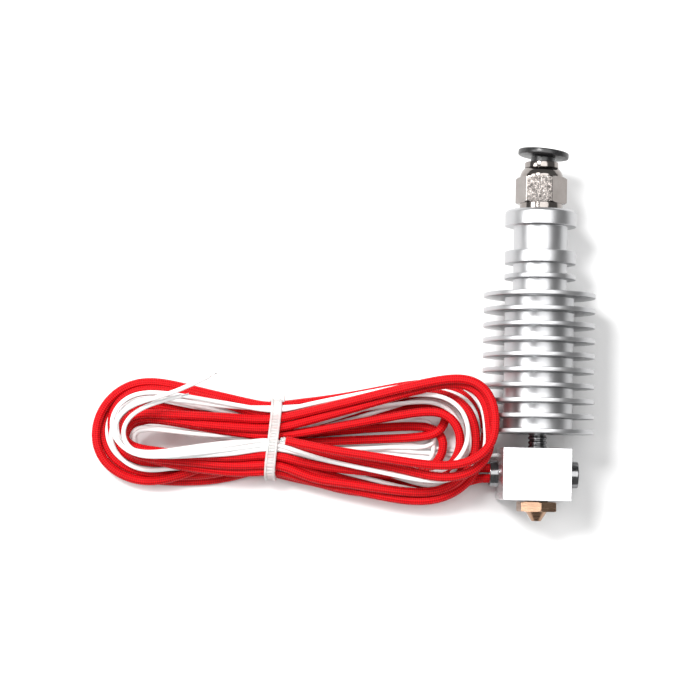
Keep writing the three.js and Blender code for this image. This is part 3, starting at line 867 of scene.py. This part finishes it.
def make_coupler_sleeve():
    pressed, lip = SOCKET_R - 0.15, SHOULDER_TOP + 0.1
    profile = filleted([(pressed, SLEEVE_END), (pressed, lip), (SLEEVE_R, lip), (SLEEVE_R, SLEEVE_TOP),
                        (SLEEVE_BORE_R, SLEEVE_TOP), (SLEEVE_BORE_R, SLEEVE_END)], 0.22)
    vertices, faces = revolved(profile, 144)
    sleeve = new_object("coupler_pressed_sleeve", shifted(vertices, z=AXIS_Z), faces, NICKEL)
    finish_piece(sleeve, HOTEND, ["coupler_sleeve"])


RING_R, RING_THICK, RING_TUBE_R = 5.7, 1.3, 2.7
RING_TILT, RING_PIVOT, RING_UNDERSIDE, RING_TUBE_END = 5.5, 36.5, 3.3, -1.9


def make_release_ring():
    top = RING_UNDERSIDE + RING_THICK
    profile = filleted([(RING_TUBE_R, RING_TUBE_END), (RING_TUBE_R, RING_UNDERSIDE), (RING_R, RING_UNDERSIDE),
                        (RING_R, top), (TUBE_BORE_R, top), (TUBE_BORE_R, RING_TUBE_END)], 0.38, steps=5)
    vertices, faces = revolved(profile, 160)
    tilt = Matrix.Rotation(math.radians(-RING_TILT), 3, "Z")
    vertices = [tuple(tilt @ Vector(v)) for v in vertices]
    ring = new_object("release_ring_moulded", shifted(vertices, y=RING_PIVOT, z=AXIS_Z), faces, BLACK)
    finish_piece(ring, COLLET, ["release_ring"])


# ---------------------------------------------------------------- heat break, block and nozzle

BREAK_TOP, BREAK_COLD_R, BREAK_COLD_END = -12.3, 3.5, -20.9
BREAK_NECK_R, BREAK_HOT_TOP, BREAK_BOTTOM = 1.6, -22.0, -30.9
M6_R, M6_ROOT_R, M6_PITCH = 3.0, 2.5, 1.0
FILAMENT_R = 1.0
RIB_R, RIB_ROOT_R, RIBS_BOTTOM = 2.1, 1.8, -25.75
BORE_R, SCREW_HOLE_R = 3.15, 1.65
BEAD_HOLE_R, BEAD_HOLE_DEPTH, BEAD_Y, BEAD_Z = 1.2, 5.4, -27.1, 2.6
NOZZLE_FLATS, NOZZLE_TURN, NOZZLE_HEX_LOW, NOZZLE_HEX_HIGH = 8.0, 22.0, -39.5, -37.35
ORIFICE_R, TIP_R, CONE_R = 0.2, 1.02, 2.4


def make_heat_break():
    """Smooth in the fins and threaded in the block, with a ribbed neck between them."""
    outside = [(FILAMENT_R, BREAK_BOTTOM), (M6_ROOT_R, BREAK_BOTTOM)]
    y = BREAK_BOTTOM
    while y < RIBS_BOTTOM - M6_PITCH:
        outside += [(M6_R, y + M6_PITCH / 2), (M6_ROOT_R, y + M6_PITCH)]
        y += M6_PITCH
    outside += [(M6_ROOT_R, RIBS_BOTTOM), (RIB_ROOT_R, RIBS_BOTTOM)]
    y = RIBS_BOTTOM
    while y < BREAK_HOT_TOP - M6_PITCH / 2:
        outside += [(RIB_ROOT_R, y + 0.1), (RIB_R, y + 0.35), (RIB_R, y + 0.7), (RIB_ROOT_R, y + 0.95)]
        y += M6_PITCH
    outside += [(BREAK_NECK_R, BREAK_HOT_TOP), (BREAK_NECK_R, BREAK_COLD_END), (BREAK_COLD_R, BREAK_COLD_END),
                (BREAK_COLD_R, BREAK_TOP), (TUBE_BORE_R, BREAK_TOP), (TUBE_BORE_R, BREAK_TOP - 2),
                (FILAMENT_R, BREAK_TOP - 3)]
    vertices, faces = revolved(filleted(outside, 0.14), 144)
    made = new_object("heat_break_turned", shifted(vertices, z=AXIS_Z), faces, STEEL)
    finish_piece(made, HOTEND, ["heat_break"])


def make_heater_block():
    block = box_object("heater_block_milled", BLOCK_LOW, BLOCK_HIGH, MILLED, 0.22)
    left, right = BLOCK_LOW[0], BLOCK_HIGH[0]

    def drill(radius, low, high, y=0.0, z=0.0, across=False, chamfer=0.25):
        profile = [(0, low - 1), (radius + chamfer + 1, low - 1), (radius, low + chamfer),
                   (radius, high - chamfer), (radius + chamfer + 1, high + 1), (0, high + 1)]
        vertices, faces = revolved(profile, 96, closed=False)
        if across:
            vertices = along_x(vertices)
        tool = new_object("drill", shifted(vertices, y, z), faces, MILLED)
        cut(block, tool)

    drill(BORE_R, BLOCK_LOW[1], BLOCK_HIGH[1], z=AXIS_Z)
    drill(BORE_R, left, right, y=CARTRIDGE_Y, z=CARTRIDGE_Z, across=True)
    drill(BEAD_HOLE_R, left, left + BEAD_HOLE_DEPTH, y=BEAD_Y, z=BEAD_Z, across=True, chamfer=0.15)
    drill(SCREW_HOLE_R, BLOCK_LOW[1], CARTRIDGE_Y - 2, z=CARTRIDGE_Z)
    tidy(block, 32)
    finish_piece(block, HOTEND, ["heater_block"])


def make_nozzle():
    top, tip = NOZZLE_HIGH[1], NOZZLE_LOW[1]
    hex_low, hex_high = NOZZLE_HEX_LOW, NOZZLE_HEX_HIGH
    outside = [(ORIFICE_R, tip), (TIP_R, tip), (TIP_R + 0.08, tip + 0.08), (CONE_R, hex_low - 0.02)]
    outside += hex_edge(NOZZLE_FLATS, hex_low, hex_high, (0, 0.03, 0.06, 0.1, 0.5, 0.9, 0.94, 0.97, 1))
    y = hex_high + 0.05
    outside.append((M6_ROOT_R, y))
    while y < top - M6_PITCH:
        outside += [(M6_R, y + M6_PITCH / 2), (M6_ROOT_R, y + M6_PITCH)]
        y += M6_PITCH
    outside += [(M6_R - 0.2, top), (FILAMENT_R, top), (FILAMENT_R, tip + 1.2), (ORIFICE_R, tip + 0.4)]
    vertices, faces = hexed(outside, NOZZLE_FLATS, NOZZLE_TURN, hex_low, hex_high, 0.3)
    made = new_object("nozzle_turned", shifted(vertices, z=AXIS_Z), faces, BRASS, 24)
    finish_piece(made, HOTEND, ["nozzle"])


M3_R, M3_ROOT_R, M3_PITCH = 1.5, 1.27, 0.5
KEY_FLATS, KEY_R, KEY_DEPTH = 1.5, 0.86, 1.5  # the key's hexagonal hole, and the radius that stands for it


def make_set_screw():
    (_, low, _), (_, high, _) = node_box("block_set_screw")
    profile = [(0, low + KEY_DEPTH), (KEY_R, low + KEY_DEPTH), (KEY_R, low + 0.1), (1.0, low),
               (1.3, low), (M3_R, low + 0.2)]
    y = low + 0.2
    while y < high - 0.7:
        profile += [(M3_ROOT_R, y + M3_PITCH / 2), (M3_R, y + M3_PITCH)]
        y += M3_PITCH
    profile += [(1.2, high - 0.05), (0.9, high), (0, high)]

    def shape(angle, r, y):
        return hex_radius(angle, KEY_FLATS, 0) if abs(r - KEY_R) < 1e-6 else r

    vertices, faces = revolved(profile, 96, shape, closed=False)
    made = new_object("block_set_screw_threaded", shifted(vertices, z=CARTRIDGE_Z), faces, STEEL, 30)
    finish_piece(made, HOTEND, ["block_set_screw"])


# ---------------------------------------------------------------- cartridge

CARTRIDGE_HALF, CARTRIDGE_WALL = 10.0, 0.35
LEAD_HOLE_APART = 1.15  # from the cartridge's axis to each lead's


def make_cartridge():
    radius = (CARTRIDGE_HIGH[2] - CARTRIDGE_LOW[2]) / 2
    half, inner = CARTRIDGE_HALF, radius - CARTRIDGE_WALL
    profile = filleted([(0, half), (radius, half), (radius, -half), (inner, -half), (inner, half - 0.8),
                        (0, half - 0.8)], 0.28, closed=False, steps=4)
    vertices, faces = revolved(profile, 96, closed=False)
    place = {"y": CARTRIDGE_Y, "z": CARTRIDGE_Z}
    sheath = new_object("cartridge_sheath_drawn", shifted(along_x(vertices), **place), faces, STEEL)
    finish_piece(sheath, HOTEND, ["cartridge_sheath"])
    (low, _, _), (high, _, _) = node_box("cartridge_seal")
    dome = [(0, high), (inner - 0.16, high), (inner - 0.16, low + 0.25), (inner - 0.5, low + 0.05), (0, low)]
    vertices, faces = revolved(dome, 96, closed=False)
    seal = new_object("cartridge_seal_cast", shifted(along_x(vertices), **place), faces, CERAMIC)
    for side in (-1, 1):
        vertices, faces = cylinder(RED_D / MM / 2 + 0.02, -14.0, -5.0)
        vertices = shifted(along_x(vertices), y=CARTRIDGE_Y + side * LEAD_HOLE_APART, z=CARTRIDGE_Z)
        hole = new_object("hole", vertices, faces, CERAMIC)
        cut(seal, hole)
    tidy(seal, 40)
    finish_piece(seal, HOTEND, ["cartridge_seal"])


# ---------------------------------------------------------------- cable tie

TIE_WIDTH, TIE_THICK, TIE_SLANT = 2.4, 1.2, 0.10
RIB_STEP, TOOTH_DEPTH = 0.22, 0.22
HEAD_X, HEAD_Y, HEAD_Z = (-1.0, 2.4), (-1.0, 0.9), (2.9, 7.1)


def tie_outline(steps=9):
    """The tie's inner outline, as (y, z)."""
    r = TIE_ROUND
    corners = [(TIE_CORE_Y[1] - r, TIE_CORE_Z[0] + r, -90), (TIE_CORE_Y[1] - r, TIE_CORE_Z[1] - r, 0),
               (TIE_CORE_Y[0] + r, TIE_CORE_Z[1] - r, 90), (TIE_CORE_Y[0] + r, TIE_CORE_Z[0] + r, 180)]
    out = []
    for y, z, first in corners:
        for k in range(steps):
            a = math.radians(first + 90 * k / (steps - 1))
            out.append((y + r * math.cos(a), z + r * math.sin(a)))
    return out


def make_tie():
    width, thick = TIE_WIDTH, TIE_THICK
    line = tie_outline()
    line.append(line[0])
    flat = resampled(np.array([(y, z, 0.0) for y, z in line]), RIB_STEP)[:-1, :2]
    middle = (TIE_CORE_Y[0] + TIE_CORE_Y[1]) / 2
    count = len(flat)
    ahead = np.roll(flat, -1, axis=0) - np.roll(flat, 1, axis=0)
    ahead /= np.linalg.norm(ahead, axis=1)[:, None]
    outward = np.stack([ahead[:, 1], -ahead[:, 0]], axis=1)
    vertices, faces = [], []
    section = [(-width / 2, 0.1), (-width / 2 + 0.1, 0.0), (width / 2 - 0.1, 0.0), (width / 2, 0.1),
               (width / 2, thick - 0.25), (width / 2 - 0.15, thick - 0.1), (width / 2 - 0.45, thick - 0.1),
               (width / 2 - 0.55, thick - 0.25), (-width / 2 + 0.55, thick - 0.25),
               (-width / 2 + 0.45, thick - 0.1), (-width / 2 + 0.15, thick - 0.1), (-width / 2, thick - 0.25)]
    for i, (p, n) in enumerate(zip(flat, outward)):
        tooth = TOOTH_DEPTH if i % 3 == 0 else 0.0
        for k, (x, out) in enumerate(section):
            if k in (7, 8):
                out -= tooth
            y, z = p + n * out
            rise = (z - TIE_LOW[2]) / (TIE_HIGH[2] - TIE_LOW[2])
            slant = -TIE_SLANT * (p[0] - middle) * rise
            vertices.append((TIE_X + x - slant, y, z))
    size = len(section)
    for i in range(count):
        j = (i + 1) % count
        for k in range(size):
            m = (k + 1) % size
            faces.append((i * size + k, i * size + m, j * size + m, j * size + k))
    strap = new_object("cable_tie_strap", vertices, faces, NYLON, 40)
    finish_piece(strap, HOTEND, ["cable_tie"])
    back = TIE_CORE_Y[1] + thick
    low, high = ((TIE_X + x, back + y, z) for x, y, z in zip(HEAD_X, HEAD_Y, HEAD_Z))
    head = box_object("cable_tie_head", low, high, NYLON, 0.45, 4)
    finish_piece(head, HOTEND, [])


# ---------------------------------------------------------------- pieces kept from the frame, floor and light


def keep_node(name, material):
    """A CAD node whose shape is right keeps it and takes a detailed material."""
    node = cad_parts[name]
    node.data.materials.clear()
    node.data.materials.append(material)


FLOOR_SIZE = 1.4  # metres from the middle to each side


def make_floor():
    form = bmesh.new()
    bmesh.ops.create_grid(form, x_segments=4, y_segments=4, size=FLOOR_SIZE)
    mesh = bpy.data.meshes.new("floor")
    form.to_mesh(mesh)
    form.free()
    floor = bpy.data.objects.new("floor", mesh)
    bpy.context.scene.collection.objects.link(floor)
    s = Shader("pale_floor", roughness=0.85, specular_ior_level=0.15)
    s.color(s.noise(30.0, 3.0), rgb(0.90, 0.90, 0.90), rgb(0.93, 0.93, 0.93))
    mesh.materials.append(s.material)


WORLD_STRENGTH = 0.24
LIGHT_TARGET = (-0.03, -0.01, 0.0)
LIGHTS = [  # name, place and size in metres, power in watts
    ("key", (-0.27, 0.225, 0.60), 0.20, 4.1),
    ("fill", (0.10, 0.08, 0.60), 0.50, 2.1),
    ("side", (-0.48, 0.03, 0.42), 0.28, 1.6),
]


def area_light(name, place, size, power):
    data = bpy.data.lights.new(name, "AREA")
    data.shape = "DISK"
    data.size = size
    data.energy = power
    lamp = bpy.data.objects.new(name, data)
    bpy.context.scene.collection.objects.link(lamp)
    place = Vector(place)
    turn = (Vector(LIGHT_TARGET) - place).to_track_quat("-Z", "Y")
    lamp.matrix_world = Matrix.Translation(place) @ turn.to_matrix().to_4x4()


def make_lights():
    world = bpy.data.worlds.new("studio")
    bpy.context.scene.world = world
    world.use_nodes = True
    background = world.node_tree.nodes["Background"]
    background.inputs["Color"].default_value = rgb(1.0, 1.0, 1.0)
    background.inputs["Strength"].default_value = WORLD_STRENGTH
    for facts in LIGHTS:
        area_light(*facts)


make_heat_sink()
make_coupler_body()
make_coupler_sleeve()
make_release_ring()
make_heat_break()
make_heater_block()
make_nozzle()
make_set_screw()
make_cartridge()
make_tie()
keep_node("coupler_o_ring", RUBBER)
keep_node("collet_claws", STEEL)
keep_node("cartridge_core", CERAMIC)
keep_node("thermistor_bead", BEAD)
make_floor()
make_lights()
bpy.context.scene.view_settings.view_transform = "Standard"
